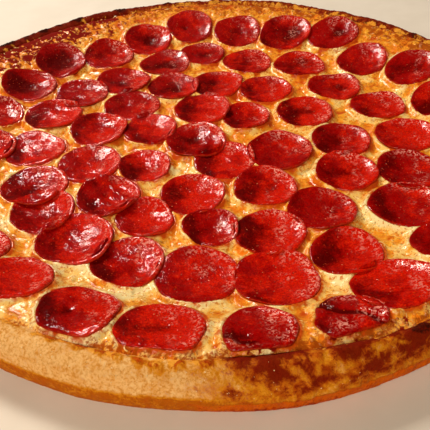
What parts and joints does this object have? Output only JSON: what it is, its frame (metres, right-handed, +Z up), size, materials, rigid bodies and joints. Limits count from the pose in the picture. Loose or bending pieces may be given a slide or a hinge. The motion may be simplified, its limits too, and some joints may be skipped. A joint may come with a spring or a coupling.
{
  "type": "pepperoni pizza",
  "caption": "Whole round pizza, uncut: puffy browned crust, melted cheese and overlapping slices of cupped pepperoni in rings.",
  "frame": {"origin": "middle of the flat underside of the crust, at the centre of the bounding box", "axes": "+Z is up out of the toppings, -Y is the side that faced the camera, +X is the camera's right"},
  "size_m": [0.4573, 0.4447, 0.0283],
  "materials": {
    "baked_crust": "baked bread crust, matt and uneven",
    "melted_cheese": "melted cheese with an oily sheen",
    "pepperoni": "cooked sausage, oily and glossy"
  },
  "bodies": {
    "root": {"cheese": "melted_cheese", "crust": "baked_crust", "slice_01": "pepperoni", "slice_02": "pepperoni", "slice_03": "pepperoni", "slice_04": "pepperoni", "slice_05": "pepperoni", "slice_06": "pepperoni", "slice_07": "pepperoni", "slice_08": "pepperoni", "slice_09": "pepperoni", "slice_10": "pepperoni", "slice_11": "pepperoni", "slice_12": "pepperoni", "slice_13": "pepperoni", "slice_14_37": "pepperoni", "slice_15": "pepperoni", "slice_16": "pepperoni", "slice_17": "pepperoni", "slice_18": "pepperoni", "slice_19": "pepperoni", "slice_20": "pepperoni", "slice_21": "pepperoni", "slice_22_23_44": "pepperoni", "slice_24": "pepperoni", "slice_25": "pepperoni", "slice_26": "pepperoni", "slice_27": "pepperoni", "slice_28": "pepperoni", "slice_29": "pepperoni", "slice_30": "pepperoni", "slice_31": "pepperoni", "slice_32": "pepperoni", "slice_33": "pepperoni", "slice_34_35_36": "pepperoni", "slice_38_39_40": "pepperoni", "slice_41": "pepperoni", "slice_42": "pepperoni", "slice_43": "pepperoni", "slice_45_46": "pepperoni", "slice_47": "pepperoni", "slice_48": "pepperoni", "slice_49": "pepperoni", "slice_50_51": "pepperoni", "slice_52": "pepperoni", "slice_53": "pepperoni", "slice_54": "pepperoni", "slice_55_56": "pepperoni", "slice_57": "pepperoni", "slice_58": "pepperoni", "slice_59": "pepperoni", "slice_60": "pepperoni", "slice_61": "pepperoni", "slice_62": "pepperoni", "slice_63": "pepperoni", "slice_64": "pepperoni", "slice_65": "pepperoni", "slice_66": "pepperoni", "slice_67": "pepperoni", "slice_68_69": "pepperoni"}
  },
  "joints": []
}
